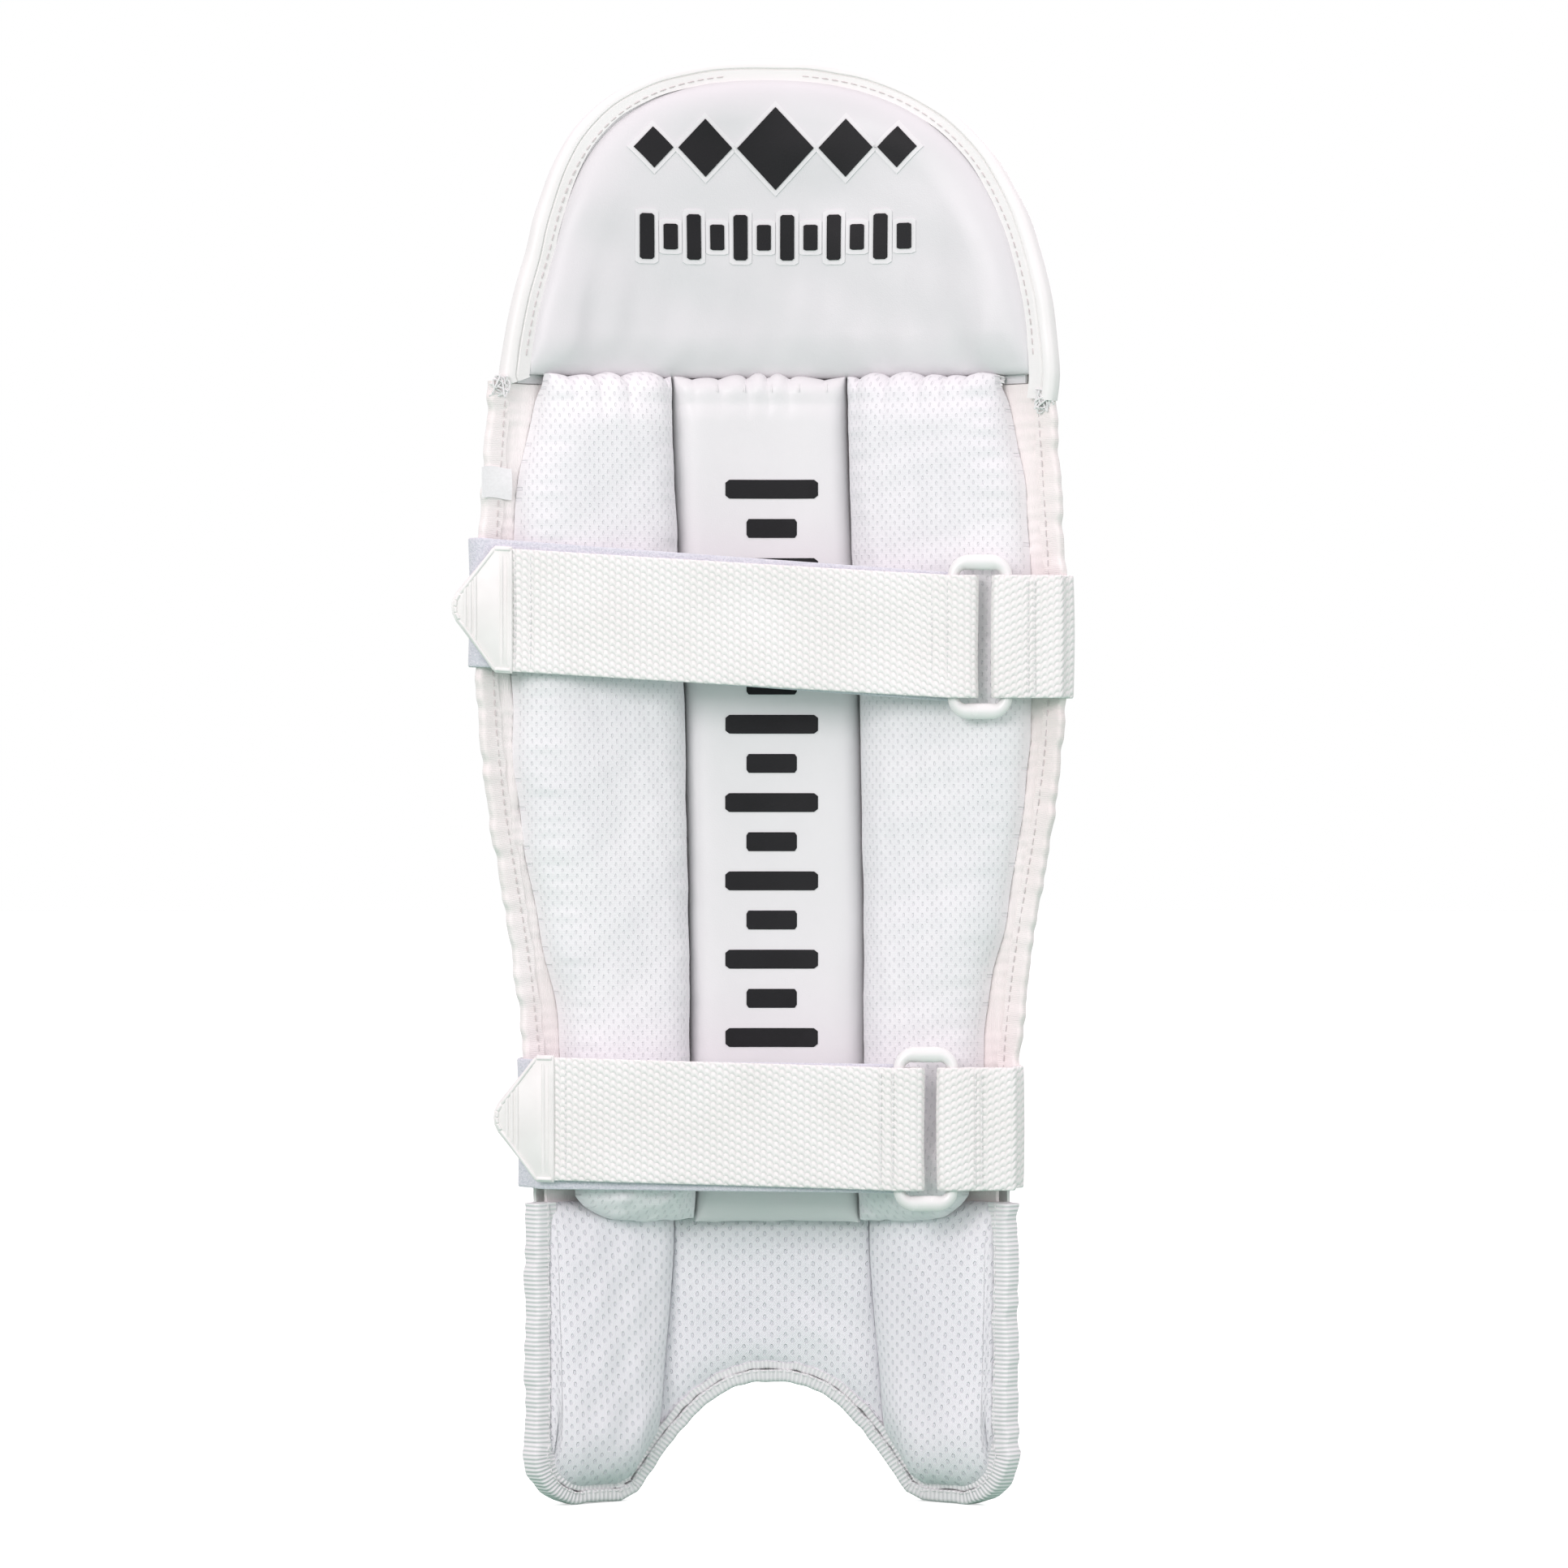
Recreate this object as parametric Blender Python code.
"""Batting leg pad for cricket: flap, knee rolls, caned shin, cushions, instep and two strap sets.

Metres. +Z runs up the leg, -Y points at the leg, +X is on the right seen from the leg side.
Every layer lies on one curved lining surface: place(x, z, t) is the point at width x and height z,
t outwards from the lining (positive to the front, negative towards the leg).
"""
import math

import bmesh
import bpy
import numpy as np
from mathutils import Matrix, Vector

# Driving dimensions
PAD_HEIGHT = 0.700
ANKLE_Z = 0.150          # instep joint
KNEE_Z = 0.545           # flap joint
TOUCH = 0.0003           # gap between pieces that touch
SEAM = 0.0010            # gap between stuffed pieces that are sewn side by side

WIDTH_STATIONS = (
    (0.000, 0.1190), (0.040, 0.1165), (0.138, 0.1165), (0.165, 0.1174), (0.215, 0.1186),
    (0.240, 0.1208), (0.265, 0.1238), (0.300, 0.1292), (0.335, 0.1346), (0.375, 0.1388),
    (0.420, 0.1408), (0.480, 0.1380), (0.545, 0.1345), (0.700, 0.1340),
)
RADIUS_STATIONS = ((0.0, 0.155), (0.150, 0.175), (0.300, 0.200), (0.545, 0.200), (0.700, 0.230))
BOW_STATIONS = ((0.0, 0.010), (0.150, 0.002), (0.350, 0.004), (0.545, 0.002), (0.700, -0.008))

# Layers, measured from the lining's leg side
LINING_THICK = 0.0012
FOAM = (0.0020, 0.0120)
CANE_DEPTH = 0.0170
CANE_RADIUS = 0.0040
CANE_PITCH = 0.0245
CANE_COUNT = 7
COVER_THICK = 0.0018
SIDE_X = 0.0925          # where the side bolsters begin
HEM_WIDTH = 0.0075

# Flap
FLAP_GAP = 0.0035
FLAP_RISE = PAD_HEIGHT - KNEE_Z - FLAP_GAP
FLAP_HALF = 0.1305       # half the flap's width at its base
FLAP_ROUNDNESS = 2.30
RIM_WIDTH = 0.0085
FLAP_EDGE_ANGLE = math.radians(80)
FLAP_HINGE_Y = -0.0300   # from the lining at the middle of the shin

# Instep
INSTEP_TOP = ANKLE_Z - 0.0035
BINDING_WIDTH = 0.0045
ARCH_HEIGHT = 0.0565
ARCH_HALF = 0.0725
LOBE_CORNER = 0.0185
LOBE_TALL = 1.30         # the lobes' corners are taller than they are wide
INSTEP_HINGE_Y = 0.0100  # from the lining at the middle of the shin

# Straps
WEBBING_WIDTH = 0.0590
WEBBING_THICK = 0.0016
BAR_RADIUS = 0.0028
BAR_CLEAR = 0.0006
RING_SPAN = 0.0255       # between the ring's bars, centre to centre
RING_HEIGHT = 0.0770
EDGE_STAND = 0.0070      # how far the straps stand off the wings' edges
TAB_REACH = 0.0230
TAB_THICK = 0.0030
STRAPS = {
    "upper": {"z": 0.4185, "tab_z": 0.4315, "pile_z": 0.4350, "tab_x": -0.1300, "bar_x": 0.1125,
              "stand": 0.0580},
    "lower": {"z": 0.1830, "tab_z": 0.1880, "pile_z": 0.1850, "tab_x": -0.1100, "bar_x": 0.0865,
              "stand": 0.0615},
}

COLOURS = {
    "panel": ((0.84, 0.83, 0.84), 0.45),
    "trim": ((0.93, 0.92, 0.89), 0.50),
    "mesh": ((0.90, 0.90, 0.93), 0.85),
    "lining": ((0.90, 0.83, 0.81), 0.80),
    "webbing": ((0.90, 0.89, 0.85), 0.85),
    "pile": ((0.82, 0.82, 0.86), 0.95),
    "plastic": ((0.93, 0.93, 0.91), 0.30),
    "cover": ((0.88, 0.88, 0.86), 0.45),
    "foam": ((0.75, 0.75, 0.72), 0.95),
    "cane": ((0.72, 0.56, 0.33), 0.60),
    "hook": ((0.85, 0.85, 0.83), 0.70),
}


def curve_through(stations):
    """Smooth function of height through (height, value) stations."""
    heights = np.array([station[0] for station in stations])
    values = np.array([station[1] for station in stations])
    steps = np.diff(values) / np.diff(heights)
    slopes = np.concatenate(([steps[0]], np.zeros(len(steps) - 1), [steps[-1]]))
    for k, (before, after) in enumerate(zip(steps, steps[1:])):
        if before * after > 0.0:
            slopes[k + 1] = 2.0 * before * after / (before + after)

    def at(height):
        i = int(np.clip(np.searchsorted(heights, height) - 1, 0, len(heights) - 2))
        span = heights[i + 1] - heights[i]
        s = min(max((height - heights[i]) / span, 0.0), 1.0)
        start = (1 + 2 * s) * (1 - s) ** 2 * values[i] + s * (1 - s) ** 2 * span * slopes[i]
        end = s * s * (3 - 2 * s) * values[i + 1] + s * s * (s - 1) * span * slopes[i + 1]
        return float(start + end)

    return at


half_width = curve_through(WIDTH_STATIONS)
curve_radius = curve_through(RADIUS_STATIONS)
bow = curve_through(BOW_STATIONS)


def place(x, z, t):
    """Point at width x and height z, t outwards from the lining."""
    radius = curve_radius(z)
    angle = math.asin(x / radius)
    depth = bow(z) - radius + (radius + t) * math.cos(angle)
    return Vector(((radius + t) * math.sin(angle), depth, z))


def spread(low, high, count):
    """count evenly spaced values from low to high."""
    return [low + (high - low) * i / (count - 1) for i in range(count)]


def crown(a, power):
    """Height of a stuffed section at a in -1..1: 1 in the middle, falling to 0 at the seams."""
    return (1.0 - min(abs(a), 1.0) ** power) ** (1.0 / 2.2)


# Building blocks

def material(look):
    """The look's material, made once."""
    found = bpy.data.materials.get(look)
    if found:
        return found
    colour, roughness = COLOURS[look]
    made = bpy.data.materials.new(look)
    made.use_nodes = True
    shader = made.node_tree.nodes["Principled BSDF"]
    shader.inputs["Base Color"].default_value = (*colour, 1.0)
    shader.inputs["Roughness"].default_value = roughness
    shader.inputs["Metallic"].default_value = 0.0
    return made


def add_object(name, mesh_data, look, pivot=None):
    """Finish a bmesh as a named object, on its joint's empty if it moves."""
    bmesh.ops.recalc_face_normals(mesh_data, faces=mesh_data.faces)
    data = bpy.data.meshes.new(name)
    mesh_data.to_mesh(data)
    mesh_data.free()
    data.shade_smooth()
    data.set_sharp_from_angle(angle=math.radians(40))
    data.materials.append(material(look))
    made = bpy.data.objects.new(name, data)
    bpy.context.scene.collection.objects.link(made)
    if pivot:
        made.parent = pivot
        made.matrix_parent_inverse = Matrix.Translation(pivot_place(pivot)).inverted()
    return made


def pivot_place(pivot):
    """World position of a joint's empty, through its parents."""
    position = Vector(pivot.location)
    while pivot.parent:
        pivot = pivot.parent
        position = position + Vector(pivot.location)
    return position


def add_pivot(name, position, parent=None):
    """Empty on a joint's axis."""
    pivot = bpy.data.objects.new(name, None)
    pivot.empty_display_size = 0.02
    bpy.context.scene.collection.objects.link(pivot)
    if parent:
        pivot.parent = parent
        position = Vector(position) - pivot_place(parent)
    pivot.location = position
    return pivot


def slab(name, across, up, inner, outer, look, pivot=None):
    """Closed solid between two surfaces on one grid: inner(a, b) and outer(a, b) give points."""
    mesh = bmesh.new()
    grids = [[[mesh.verts.new(side(a, b)) for a in across] for b in up] for side in (inner, outer)]
    for grid in grids:
        for lower, upper in zip(grid, grid[1:]):
            for i in range(len(across) - 1):
                mesh.faces.new((lower[i], lower[i + 1], upper[i + 1], upper[i]))
    borders = [border(grid) for grid in grids]
    count = len(borders[0])
    for i in range(count):
        j = (i + 1) % count
        mesh.faces.new((borders[0][i], borders[0][j], borders[1][j], borders[1][i]))
    return add_object(name, mesh, look, pivot)


def border(grid):
    """The grid's outline, in order."""
    right = [row[-1] for row in grid[1:]]
    left = [row[0] for row in grid[-2:0:-1]]
    return grid[0] + right + grid[-1][-2::-1] + left


def sweep(name, rings, look, pivot=None, closed=False):
    """Closed solid through matching rings of points, capped unless it closes on itself."""
    mesh = bmesh.new()
    loops = [[mesh.verts.new(point) for point in ring] for ring in rings]
    pairs = list(zip(loops, loops[1:]))
    if closed:
        pairs.append((loops[-1], loops[0]))
    sides = len(loops[0])
    for first, second in pairs:
        for i in range(sides):
            j = (i + 1) % sides
            mesh.faces.new((first[i], first[j], second[j], second[i]))
    if not closed:
        mesh.faces.new(loops[0])
        mesh.faces.new(loops[-1])
    return add_object(name, mesh, look, pivot)


def edge_strip(name, outline, width, depth, look, pivot=None):
    """Binding along an outline of (x, z) points: width inwards, between two depths."""
    inside = offset_outline(outline, width)
    rings = []
    for (x, z), (inner_x, inner_z) in zip(outline, inside):
        rings.append([
            place(x, z, depth[0]), place(x, z, depth[1]),
            place(inner_x, inner_z, depth[1]), place(inner_x, inner_z, depth[0]),
        ])
    return sweep(name, rings, look, pivot)


def offset_outline(outline, distance):
    """The outline moved sideways, to the right of its direction."""
    points = np.array(outline)
    along = np.gradient(points, axis=0)
    along /= np.linalg.norm(along, axis=1)[:, None]
    normals = np.column_stack((along[:, 1], -along[:, 0]))
    return [tuple(point) for point in points + distance * normals]


# Top flap

def flap_outline(angle, inset):
    """(x, z) on the flap's dome at an angle from the top, inset from its edge."""
    power = 2.0 / FLAP_ROUNDNESS
    wide = FLAP_HALF - inset
    x = math.copysign(abs(math.sin(angle)) ** power, angle) * wide
    z = KNEE_Z + FLAP_GAP + abs(math.cos(angle)) ** power * (FLAP_RISE - inset)
    return x, z


def flap_slab(name, inner, outer, look, pivot):
    """Slab that fills the dome inside its rim."""
    inset = RIM_WIDTH + TOUCH * 2
    across = [i / 9 * FLAP_EDGE_ANGLE for i in range(-9, 10)]
    base = KNEE_Z + FLAP_GAP

    def point(a, b, depth):
        x, top = flap_outline(a, inset)
        return place(x, base + (top - base) * b, depth(a / FLAP_EDGE_ANGLE, b))

    up = [0.0, 0.06, 0.20, 0.45, 0.72, 0.90, 0.97, 1.0]
    return slab(name, across, up, lambda a, b: point(a, b, inner), lambda a, b: point(a, b, outer),
                look, pivot)


def flap_cushion(a, b):
    """Leg side of the flap's panel."""
    return -0.0030 - 0.0110 * crown(a, 4) * crown(2 * b - 1, 6)


def flap_front(a, b):
    """Front of the flap's foam."""
    return 0.0060 + 0.0080 * crown(a, 4) * crown(2 * b - 1, 6)


def build_flap(pivot):
    flap_slab("top_flap_panel", flap_cushion, lambda a, b: 0.0, "panel", pivot)
    flap_slab("top_flap_foam", lambda a, b: TOUCH, flap_front, "foam", pivot)
    flap_slab("top_flap_cover", lambda a, b: flap_front(a, b) + TOUCH * 2,
              lambda a, b: flap_front(a, b) + TOUCH * 2 + COVER_THICK, "cover", pivot)
    angles = spread(-math.pi / 2, math.pi / 2, 33)
    outline = [flap_outline(angle, 0.0) for angle in angles]
    edge_strip("top_flap_rim", outline, RIM_WIDTH, (-0.0030, 0.0080), "trim", pivot)


# Knee rolls and shin

ROLL_COUNT = 3
ROLL_HEIGHT = 0.0350
ROLL_BASE = KNEE_Z - 0.0045 - ROLL_COUNT * ROLL_HEIGHT
SHIN_BASE = ANKLE_Z + 0.0060


def build_knee():
    reach = SIDE_X - SEAM
    slab("knee_backing", spread(-reach, reach, 9), spread(ROLL_BASE, KNEE_Z - 0.0045, 4),
         lambda x, z: place(x, z, FOAM[0]), lambda x, z: place(x, z, FOAM[0] + 0.0050), "foam")
    back = FOAM[0] + 0.0050 + TOUCH * 2
    for i in range(ROLL_COUNT):
        low = ROLL_BASE + i * ROLL_HEIGHT
        high = low + ROLL_HEIGHT - SEAM

        def front(x, z, low=low, high=high):
            bulge = crown(2 * (z - low) / (high - low) - 1, 2.4) * crown(x / reach, 8)
            return place(x, z, back + 0.0040 + 0.0200 * bulge)

        rows = [low + (high - low) * (0.5 - 0.5 * math.cos(math.pi * j / 8)) for j in range(9)]
        slab(f"knee_roll_{i + 1}", [reach * math.sin(math.pi / 2 * j / 6) for j in range(-6, 7)],
             rows, lambda x, z: place(x, z, back), front, "cover")


def rib_depth(x):
    """Inside of the shin cover: a rib over each cane, a valley between them."""
    s = x / CANE_PITCH
    from_rib = abs(s - round(s)) * 2
    return FOAM[1] + 0.0008 + 0.0092 * (1.0 - from_rib ** 2)


def build_shin():
    reach = SIDE_X - SEAM
    rows = spread(SHIN_BASE, ROLL_BASE - SEAM, 6)
    slab("shin_foam", spread(-reach, reach, 9), rows, lambda x, z: place(x, z, FOAM[0]),
         lambda x, z: place(x, z, FOAM[1]), "foam")
    for i in range(CANE_COUNT):
        x = (i - (CANE_COUNT - 1) / 2) * CANE_PITCH
        rings = []
        for z in spread(SHIN_BASE + 0.004, ROLL_BASE - 0.005, 8):
            turns = [2 * math.pi * k / 8 for k in range(8)]
            rings.append([
                place(x + CANE_RADIUS * math.cos(turn), z, CANE_DEPTH + CANE_RADIUS * math.sin(turn))
                for turn in turns
            ])
        sweep(f"cane_{i + 1}", rings, "cane")
    ribs = CANE_COUNT * 3
    steps = [CANE_PITCH / 6 * i for i in range(-ribs, ribs + 1)]
    slab("shin_cover", steps, rows, lambda x, z: place(x, z, rib_depth(x)),
         lambda x, z: place(x, z, rib_depth(x) + COVER_THICK), "cover")


LOBE_COUNT = 9
bolster_reach = curve_through(((0.0, -0.0080), (0.180, -0.0080), (0.215, -0.0092), (0.250, -0.0060),
                               (0.290, -0.0060), (0.330, -0.0105), (0.700, -0.0105)))


def bolster_edge(z):
    """Outer edge of a side bolster: its front just shows beside the wing below, and hides above."""
    return half_width(z) + bolster_reach(z)


def build_side_bolster(name, side):
    low = SHIN_BASE
    high = KNEE_Z - 0.0105
    pitch = (high - low) / LOBE_COUNT
    rows = []
    for i in range(LOBE_COUNT):
        rows += [low + pitch * (i + s) for s in (0.0, 0.12, 0.5, 0.88)]
    rows.append(high)

    def point(a, z, outer):
        inner_x = SIDE_X
        x = inner_x + (bolster_edge(z) - inner_x) * a
        lobe = crown(2 * (((z - low) / pitch) % 1.0) - 1, 4) if low < z < high else 0.0
        bulge = crown(2 * a - 1, 4)
        t = 0.0100 + 0.0030 * lobe * bulge + 0.0030 * bulge if outer else FOAM[0] + 0.0042 * a
        return place(side * x, z, t)

    slab(name, [0.0, 0.12, 0.45, 0.80, 1.0], rows, lambda a, z: point(a, z, False),
         lambda a, z: point(a, z, True), "cover")


# Leg side

LABEL_X = (-0.1370, -0.1300, -0.1235)
LABEL_Z = (0.4850, 0.5000)


def build_lining():
    def edge(z):
        return half_width(z) - HEM_WIDTH - SEAM

    slab("lining", spread(-1.0, 1.0, 13), spread(SHIN_BASE, KNEE_Z - 0.0045, 12),
         lambda a, z: place(a * edge(z), z, 0.0),
         lambda a, z: place(a * edge(z), z, LINING_THICK), "lining")
    for name, side in (("left_wing_hem", -1), ("right_wing_hem", 1)):
        rings = []
        for z in spread(SHIN_BASE, KNEE_Z - 0.0105, 14):
            outer = half_width(z)
            inner = outer - HEM_WIDTH
            rings.append([
                place(side * outer, z, -0.0010), place(side * outer, z, 0.0032),
                place(side * inner, z, 0.0032), place(side * inner, z, -0.0010),
            ])
        sweep(name, rings, "lining")
    slab("size_label", LABEL_X, LABEL_Z, lambda x, z: place(x, z, -0.0024),
         lambda x, z: place(x, z, -0.0016), "trim")


BOLSTER_INNER = 0.0445
BOLSTER_OUTER = ((0.130, 0.1010), (0.225, 0.1035), (0.300, 0.1165), (0.380, 0.1258),
                 (0.470, 0.1245), (0.545, 0.1125))
CUSHION_BASE = 0.1360
CUSHION_TOP = KNEE_Z - 0.0030
BOLSTER_THICK = 0.0290
CENTRE_THICK = 0.0130
LIFT_STATIONS = ((0.0, 0.0115), (0.136, 0.0115), (0.160, 0.0105), (0.195, 0.0), (0.700, 0.0))


def cushion_rows():
    """Heights of a calf cushion's rows, closer at its rounded ends."""
    ends = (0.0, 0.004, 0.012, 0.026)
    middle = spread(CUSHION_BASE + 0.050, CUSHION_TOP - 0.050, 8)
    return ([CUSHION_BASE + e for e in ends] + middle
            + [CUSHION_TOP - e for e in reversed(ends)])


def end_crown(z, low, high, reach):
    """Rounding towards a cushion's two ends."""
    near = min(z - low, high - z)
    return math.sqrt(max(0.0, 1.0 - max(0.0, 1.0 - near / reach) ** 2))


def build_calf_cushions():
    lift = curve_through(LIFT_STATIONS)
    outer_edge = curve_through(BOLSTER_OUTER)
    bolster_across = [math.sin(math.pi / 2 * i / 4) for i in range(-4, 5)]

    def bolster_point(a, z, side, towards_leg):
        inner_x = BOLSTER_INNER
        x = inner_x + (outer_edge(z) - inner_x) * (a + 1) / 2
        t = -SEAM - lift(z)
        if towards_leg:
            stuffing = crown(a, 2.6) * end_crown(z, CUSHION_BASE, CUSHION_TOP, 0.030)
            t -= 0.0050 + (BOLSTER_THICK - 0.0050) * stuffing * (1.0 - 0.12 * (a + 1))
        return place(side * x, z, t)

    for name, side in (("left_calf_bolster", -1), ("right_calf_bolster", 1)):
        slab(name, bolster_across, cushion_rows(),
             lambda a, z, side=side: bolster_point(a, z, side, True),
             lambda a, z, side=side: bolster_point(a, z, side, False), "mesh")

    reach = BOLSTER_INNER - SEAM

    def centre_point(x, z, towards_leg):
        t = -SEAM - lift(z)
        if towards_leg:
            t -= 0.0050 + (CENTRE_THICK - 0.0050) * crown(x / reach, 3) * end_crown(
                z, CUSHION_BASE, CUSHION_TOP, 0.020)
        return place(x, z, t)

    slab("calf_centre_panel", spread(-reach, reach, 8), cushion_rows(),
         lambda x, z: centre_point(x, z, True), lambda x, z: centre_point(x, z, False), "panel")


# Instep

INSTEP_X = 0.0500        # where the instep's side cushions begin
INSTEP_HALF = 0.1100     # half the width of what fits inside the binding
INSTEP_SIDE_THICK = 0.0200
INSTEP_CENTRE_THICK = 0.0110


def instep_edge():
    """Outer outline of the instep, from the left side's top, round both lobes and the arch."""
    half = []
    for s in spread(0.0, 0.94, 9):
        x = ARCH_HALF * s
        half.append((x, ARCH_HEIGHT * (1.0 - s ** 2.4) ** 1.3))
    wide = half_width(0.0) - 0.0015
    half.append((ARCH_HALF + 0.003, 0.0003))
    half.append((ARCH_HALF + 0.012, 0.0))
    corner_x = wide - LOBE_CORNER
    for i in range(0, 6):
        turn = math.pi / 2 * i / 5
        half.append((corner_x + LOBE_CORNER * math.sin(turn),
                     LOBE_CORNER * (1 - math.cos(turn)) * LOBE_TALL))
    for z in spread(0.040, INSTEP_TOP, 5):
        half.append((half_width(z), z))
    left = [(-x, z) for x, z in reversed(half[1:])]
    return left + half


def instep_base(outline):
    """Function of x for the lower edge of the panels inside the binding."""
    inside = offset_outline(outline, -BINDING_WIDTH - TOUCH * 3)
    middle = [point for point in inside if point[1] < 0.110]
    xs = [point[0] for point in middle]
    zs = [point[1] for point in middle]
    return lambda x: float(np.interp(x, xs, zs))


def instep_slab(name, across, base, inner, outer, look, pivot):
    """Panel of the instep, from its lower edge to the ankle."""
    up = [0.0, 0.05, 0.18, 0.42, 0.70, 0.90, 1.0]

    def point(x, b, depth):
        z = base(x) + (INSTEP_TOP - base(x)) * b
        limit = half_width(z) - BINDING_WIDTH - TOUCH * 3
        return place(max(-limit, min(limit, x)), z, depth(x, b))

    slab(name, across, up, lambda x, b: point(x, b, inner), lambda x, b: point(x, b, outer),
         look, pivot)


def build_instep(pivot):
    outline = instep_edge()
    edge_strip("instep_binding", outline, -BINDING_WIDTH, (-0.0080, 0.0125), "trim", pivot)
    base = instep_base(outline)
    reach = INSTEP_HALF
    across = spread(-reach, reach, 19)
    instep_slab("instep_foam", across, base, lambda x, b: TOUCH, lambda x, b: 0.0100, "foam", pivot)
    instep_slab("instep_cover", across, base, lambda x, b: 0.0106, lambda x, b: 0.0106 + COVER_THICK,
                "cover", pivot)
    for name, side in (("left_instep_cushion", -1), ("right_instep_cushion", 1)):
        low = INSTEP_X
        high = reach - 0.0010
        xs = [low + (high - low) * (0.5 + 0.5 * math.sin(math.pi / 2 * i / 4)) for i in range(-4, 5)]

        def depth(x, b, low=low, high=high):
            a = 2 * (abs(x) - low) / (high - low) - 1
            taper = end_crown(b, 0.0, 1.0, 0.30)
            return -0.0045 - (INSTEP_SIDE_THICK - 0.0045) * crown(a, 2.6) * taper * (1 - 0.45 * b)

        instep_slab(name, [side * x for x in xs], base, depth, lambda x, b: -TOUCH, "mesh", pivot)
    middle = INSTEP_X - SEAM

    def centre_depth(x, b):
        return -0.0040 - (INSTEP_CENTRE_THICK - 0.0040) * crown(x / middle, 3) * end_crown(
            b, 0.0, 1.0, 0.25) * (1 - 0.4 * b)

    instep_slab("centre_instep_cushion", spread(-middle, middle, 13), base, centre_depth,
                lambda x, b: -TOUCH, "mesh", pivot)


# Straps

def strap_line(x, size):
    """Depth (world y) of a strap's bars at width x: a shallow curve over the calf bolsters."""
    z = size["z"]
    wide = half_width(z)
    crest = place(0.0, z, -size["stand"]).y
    edge = min(place(wide, z, 0.0).y - EDGE_STAND, crest)
    return crest + (edge - crest) * min(abs(x) / wide, 1.0) ** 2


def settled(distance, near, far, run=0.030):
    """Offset that eases from near, at a bar, to far once it has run along the strap."""
    s = min(max(distance / run, 0.0), 1.0)
    return near + (far - near) * s * s * (3 - 2 * s)


def ribbon(name, path, width, thickness, look, pivot=None):
    """Flat webbing along (x, y, z) points: its width runs up, its thickness across the path."""
    rings = []
    for i, (x, y, z) in enumerate(path):
        before = path[max(i - 1, 0)]
        after = path[min(i + 1, len(path) - 1)]
        along = Vector((after[0] - before[0], after[1] - before[1], 0.0)).normalized()
        side = Vector((-along.y, along.x, 0.0)) * (thickness / 2)
        middle = Vector((x, y, z))
        rise = Vector((0.0, 0.0, width / 2))
        rings.append([middle + side + rise, middle - side + rise,
                      middle - side - rise, middle + side - rise])
    return sweep(name, rings, look, pivot)


def arc(centre, radius, start, end, count, z):
    """Points round a bar, angles in degrees."""
    points = []
    for degrees in spread(start, end, count):
        turn = math.radians(degrees)
        points.append((centre.x + radius * math.cos(turn), centre.y + radius * math.sin(turn), z))
    return points


def build_ring(name, left_bar, right_bar, z, pivot):
    """Plastic ring: a round rod bent to a rounded rectangle between its two bars."""
    across = (right_bar - left_bar).normalized()
    centre = (left_bar + right_bar) / 2
    half_span = (right_bar - left_bar).length / 2
    half_high = RING_HEIGHT / 2 - BAR_RADIUS
    corner = 0.0070
    outline = []
    for quarter, (sx, sz) in enumerate(((1, 1), (-1, 1), (-1, -1), (1, -1))):
        for degrees in (0, 30, 60, 90):
            turn = math.radians(degrees + 90 * quarter)
            outline.append((sx * (half_span - corner) + corner * math.cos(turn),
                            sz * (half_high - corner) + corner * math.sin(turn)))
    rings = []
    count = len(outline)
    depth = Vector((-across.y, across.x, 0.0))
    up = Vector((0.0, 0.0, 1.0))
    for i, (u, v) in enumerate(outline):
        before = outline[i - 1]
        after = outline[(i + 1) % count]
        along = Vector((after[0] - before[0], after[1] - before[1])).normalized()
        outward = across * along.y - up * along.x
        middle = centre + across * u + up * (v + z - centre.z)
        rings.append([
            middle + outward * BAR_RADIUS * math.cos(turn) + depth * BAR_RADIUS * math.sin(turn)
            for turn in (2 * math.pi * k / 8 for k in range(8))
        ])
    return sweep(name, rings, "plastic", pivot, closed=True)


def build_tab(name, root_x, root_y, z, along, pivot):
    """Moulded pull tab: a pentagon whose point is the grip."""
    half = WEBBING_WIDTH / 2 + 0.0005
    outline = ((0.0, -half), (0.0, half), (0.0080, half), (TAB_REACH, 0.006), (TAB_REACH, -0.006),
               (0.0080, -half))
    normal = Vector((-along.y, along.x, 0.0))
    start = Vector((root_x, root_y, z))
    rings = []
    for side in (-TAB_THICK / 2, TAB_THICK / 2):
        rings.append([start + along * u + Vector((0.0, 0.0, v)) + normal * side for u, v in outline])
    return sweep(name, rings, "plastic", pivot)


def slope_height(x, bar_x, bar_z, end_x, end_z):
    """Height of a strap's centre line between its ring and its free end."""
    s = (bar_x - x) / (bar_x - end_x)
    return bar_z + (end_z - bar_z) * s


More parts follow.
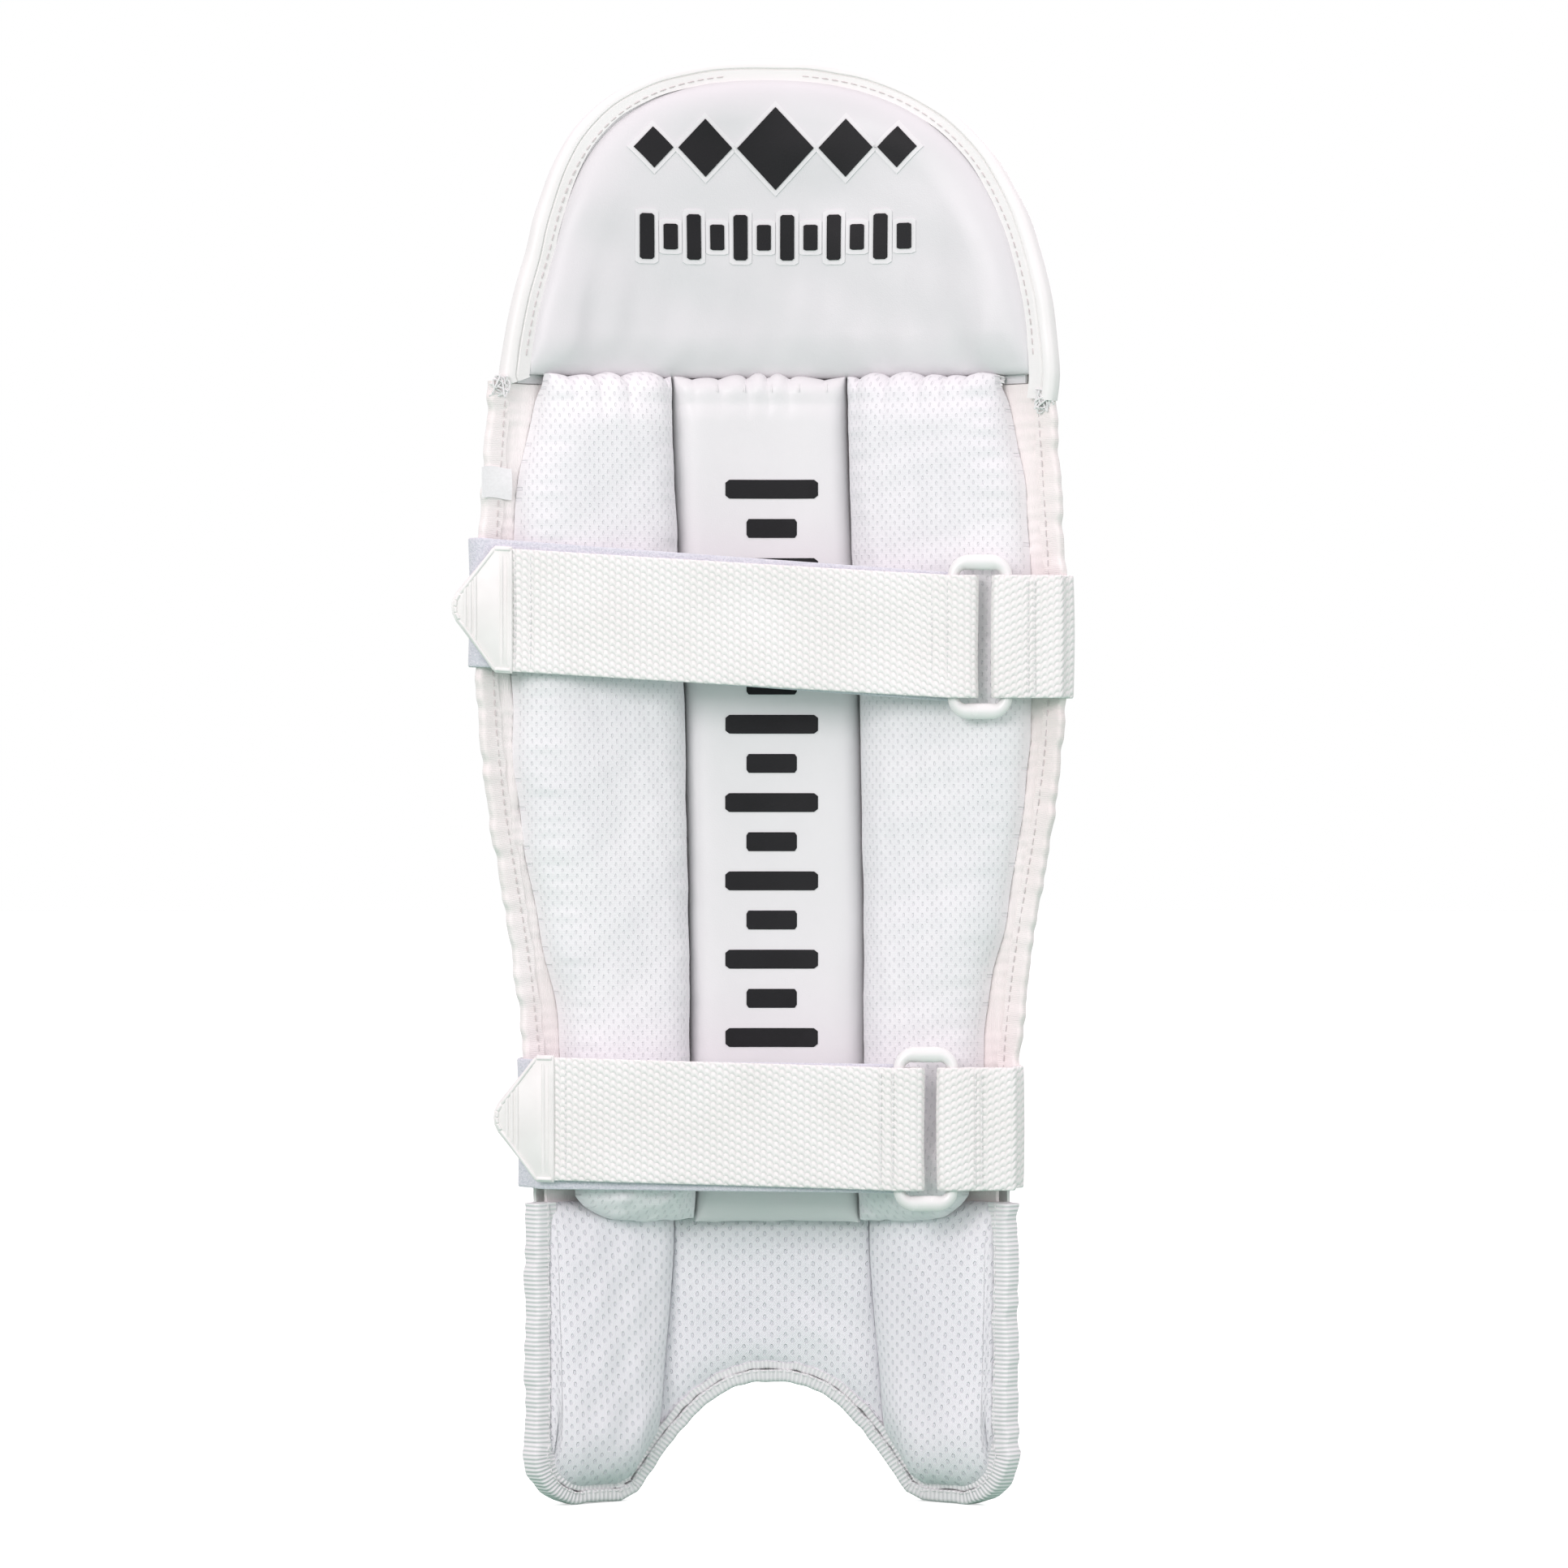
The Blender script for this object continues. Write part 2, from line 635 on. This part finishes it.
def build_strap(prefix, size):
    z = size["z"]
    right_bar = Vector((size["bar_x"], strap_line(size["bar_x"], size), z))
    left_x = size["bar_x"] - RING_SPAN
    left_bar = Vector((left_x, strap_line(left_x, size), z))
    ring_pivot = add_pivot(f"{prefix}_ring_pivot", right_bar)
    flap_pivot = add_pivot(f"{prefix}_strap_pivot", left_bar, ring_pivot)
    wrap = BAR_RADIUS + BAR_CLEAR + WEBBING_THICK / 2
    build_ring(f"{prefix}_ring", left_bar, right_bar, z, ring_pivot)

    # Outer layer: round the left bar, then down onto the pile layer and out to the tab
    tab_x = size["tab_x"]
    outer = arc(left_bar, wrap, 90, -90, 9, z)
    for x in spread(left_x - 0.006, tab_x, 16):
        y = strap_line(x, size) + settled(left_x - x, -wrap, 0.0006)
        outer.append((x, y, slope_height(x, left_x, z, tab_x, size["tab_z"])))
    ribbon(f"{prefix}_strap_webbing", outer, WEBBING_WIDTH, WEBBING_THICK, "webbing", flap_pivot)
    end = Vector(outer[-1])
    along = Vector((end.x - outer[-2][0], end.y - outer[-2][1], 0.0)).normalized()
    build_tab(f"{prefix}_pull_tab", end.x + along.x * TOUCH, end.y + along.y * TOUCH, end.z, along,
              flap_pivot)

    # Hook patch under the outer layer's end
    patch = []
    for x in spread(tab_x + 0.052, tab_x + 0.004, 6):
        y = strap_line(x, size) + 0.0006 + WEBBING_THICK / 2 + 0.0004 + TOUCH
        patch.append((x, y, slope_height(x, left_x, z, tab_x, size["tab_z"])))
    ribbon(f"{prefix}_hook_patch", patch, WEBBING_WIDTH - 0.008, 0.0008, "hook", flap_pivot)

    # Pile layer: from the ring to the left wing, round its edge and onto the front
    pile = []
    wing = half_width(z)
    for x in spread(left_x - 0.0060, 0.010 - wing, 15):
        y = strap_line(x, size) + wrap
        pile.append((x, y, slope_height(x, left_x, z, -wing, size["pile_z"])))
    pile += wing_wrap(-1, size["pile_z"])
    ribbon(f"{prefix}_pile_strap", pile, WEBBING_WIDTH + 0.002, WEBBING_THICK, "pile")

    # Ring loop: a short return inside, round the right bar, then out to the right wing
    loop = []
    for x in spread(wing - 0.010, right_bar.x + 0.005, 4):
        loop.append((x, strap_line(x, size) + settled(x - right_bar.x, wrap, 0.0014, 0.020), z))
    loop += arc(right_bar, wrap, 90, 270, 9, z)
    for x in spread(right_bar.x + 0.005, wing - 0.003, 5):
        loop.append((x, strap_line(x, size) + settled(x - right_bar.x, -wrap, -0.0008, 0.020), z))
    loop += wing_wrap(1, z)
    ribbon(f"{prefix}_ring_loop", loop, WEBBING_WIDTH, WEBBING_THICK, "webbing")


def wing_wrap(side, z):
    """Path of a strap round the wing's edge, ending sewn to the front of the side bolster."""
    edge = half_width(z)
    outer = bolster_edge(z)
    front = 0.0190
    path = []
    for x, t in ((edge + 0.0018, -0.0015), (edge + 0.0024, 0.0035), (outer + 0.0046, 0.0120),
                 (outer - 0.0035, 0.0176), (outer - 0.0100, front), (outer - 0.0200, front)):
        point = place(side * x, z, t)
        path.append((point.x, point.y, z))
    return path


def centre_on_origin():
    """Move the whole pad so that the middle of its box's base is the origin."""
    bpy.context.view_layer.update()
    corners = []
    for part in bpy.data.objects:
        if part.type == "MESH":
            corners += [part.matrix_world @ Vector(corner) for corner in part.bound_box]
    low = Vector([min(corner[i] for corner in corners) for i in range(3)])
    high = Vector([max(corner[i] for corner in corners) for i in range(3)])
    shift = Vector((-(low.x + high.x) / 2, -(low.y + high.y) / 2, -low.z))
    for part in bpy.data.objects:
        if part.parent is None:
            part.location = part.location + shift


def main():
    for old in list(bpy.data.objects):
        bpy.data.objects.remove(old, do_unlink=True)
    flap_pivot = add_pivot("top_flap_pivot", (0.0, FLAP_HINGE_Y, KNEE_Z))
    instep_pivot = add_pivot("instep_pivot", (0.0, INSTEP_HINGE_Y, ANKLE_Z))
    build_flap(flap_pivot)
    build_knee()
    build_shin()
    build_side_bolster("left_side_bolster", -1)
    build_side_bolster("right_side_bolster", 1)
    build_lining()
    build_calf_cushions()
    build_instep(instep_pivot)
    for prefix, size in STRAPS.items():
        build_strap(prefix, size)
    centre_on_origin()


main()
